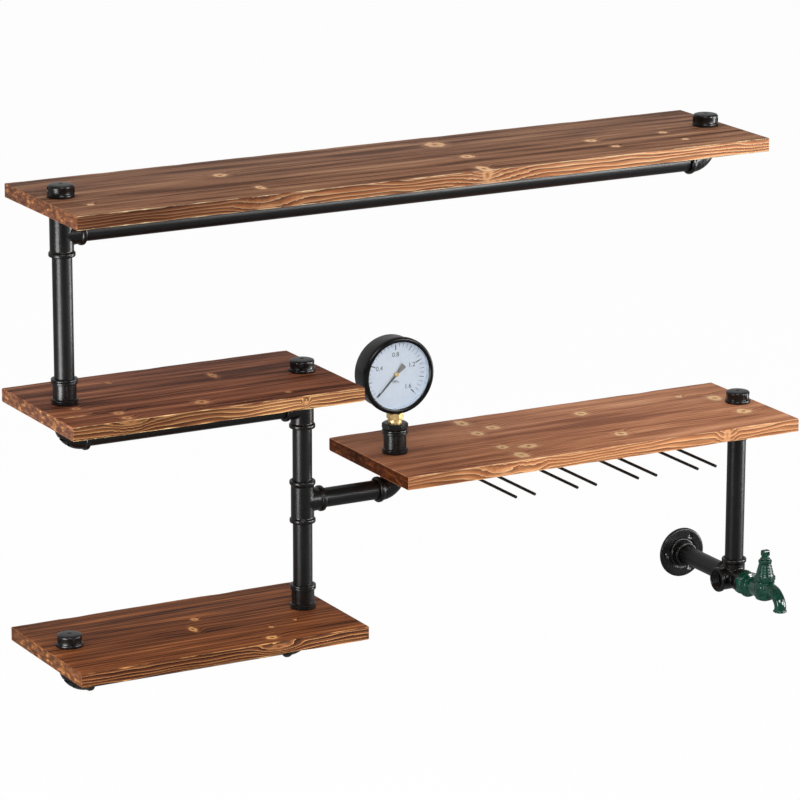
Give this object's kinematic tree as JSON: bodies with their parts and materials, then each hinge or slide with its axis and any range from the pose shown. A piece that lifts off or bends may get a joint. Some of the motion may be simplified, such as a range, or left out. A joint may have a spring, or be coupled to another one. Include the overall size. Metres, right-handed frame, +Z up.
{
  "type": "pipe shelving unit",
  "caption": "Wall shelving unit of stained wooden boards on threaded iron pipe, with a pressure gauge, a garden tap and wire rails for stemmed glasses.",
  "frame": {"origin": "on the back face of the wall flange, on the wall, straight above the axis of the wall pipe by the radius of the screw circle", "axes": "+X to the right as seen from the room, along the boards; +Y into the wall; +Z up"},
  "size_m": [1.138, 0.276, 0.7303],
  "materials": {
    "stained_board": "charred and stained softwood, satin",
    "black_pipe": "satin black coating",
    "black_fitting": "black coated casting, satin",
    "rail_wire": "satin black coating",
    "gauge_case_black": "gloss black enamel",
    "dial_face": "matt pale blue white with black print",
    "gauge_glass": "clear, polished",
    "pointer_black": "satin black",
    "brass": "machined",
    "tap_green": "gloss dark green enamel",
    "spindle_steel": "turned"
  },
  "bodies": {
    "shelf": {"board_top": "stained_board", "board_left_shelf": "stained_board", "board_right_shelf": "stained_board", "board_bottom_shelf": "stained_board", "cap_top_left": "black_fitting", "cap_top_right": "black_fitting", "cap_left_shelf": "black_fitting", "cap_right_shelf": "black_fitting", "cap_bottom_shelf": "black_fitting", "tee_top_left": "black_fitting", "tee_left_shelf": "black_fitting", "tee_middle_column": "black_fitting", "tee_side_outlet": "black_fitting", "elbow_top_right": "black_fitting", "elbow_left_shelf": "black_fitting", "elbow_right_shelf": "black_fitting", "elbow_bottom_left": "black_fitting", "elbow_bottom_right": "black_fitting", "coupling_left_column": "black_fitting", "coupling_middle_column": "black_fitting", "coupling_gauge": "black_fitting", "coupling_right_column": "black_fitting", "pipe_top": "black_pipe", "pipe_left_shelf": "black_pipe", "pipe_bottom": "black_pipe", "pipe_branch": "black_pipe", "pipe_left_column": "black_pipe", "pipe_middle_column_upper": "black_pipe", "pipe_middle_column_lower": "black_pipe", "pipe_right_column": "black_pipe", "pipe_wall": "black_pipe", "nipple_top_left": "black_pipe", "nipple_top_right": "black_pipe", "nipple_left_shelf_left": "black_pipe", "nipple_left_shelf_right": "black_pipe", "nipple_right_shelf_left": "black_pipe", "nipple_right_shelf_right": "black_pipe", "nipple_bottom_left": "black_pipe", "nipple_bottom_right": "black_pipe", "wall_flange": "black_fitting", "gauge_bush": "black_fitting", "gauge_stem": "brass", "gauge_case": "gauge_case_black", "gauge_bezel": "gauge_case_black", "gauge_dial": "dial_face", "gauge_glass": "gauge_glass", "gauge_bourdon_tube": "brass", "gauge_movement_plate": "brass", "tap_body": "tap_green", "tap_bonnet": "tap_green", "tap_packing_nut": "tap_green", "stem_rail_1": "rail_wire", "stem_rail_2": "rail_wire", "stem_rail_3": "rail_wire", "stem_rail_4": "rail_wire"},
    "pointer": {"gauge_pointer": "pointer_black"},
    "sector": {"gauge_sector": "brass"},
    "tap_stopper": {"tap_valve": "brass"},
    "tap_spindle": {"tap_spindle": "spindle_steel", "tap_handle": "tap_green"}
  },
  "joints": [
    {"name": "pointer_turn", "type": "hinge", "parent": "shelf", "child": "pointer", "pos_m": [-0.563, -0.144, 0.3489], "axis": [0, 1, 0], "range_deg": [0, 270], "stiffness_Nm_per_rad": 0.0002},
    {"name": "sector_turn", "type": "hinge", "parent": "shelf", "child": "sector", "pos_m": [-0.55017, -0.144, 0.33607], "axis": [0, 1, 0], "range_deg": [-46, 0]},
    {"name": "tap_rise", "type": "slide", "parent": "shelf", "child": "tap_stopper", "axis": [0, 0, 1], "range_m": [0, 0.004]},
    {"name": "tap_turn", "type": "hinge", "parent": "tap_stopper", "child": "tap_spindle", "pos_m": [0, -0.225, 0], "axis": [0, 0, 1], "range_deg": [0, 725]}
  ],
  "couplings": [
    {"joint": "sector_turn", "follows": "pointer_turn", "ratio": -0.16667},
    {"joint": "tap_turn", "follows": "tap_rise", "rad_per_m": 3141.6}
  ]
}
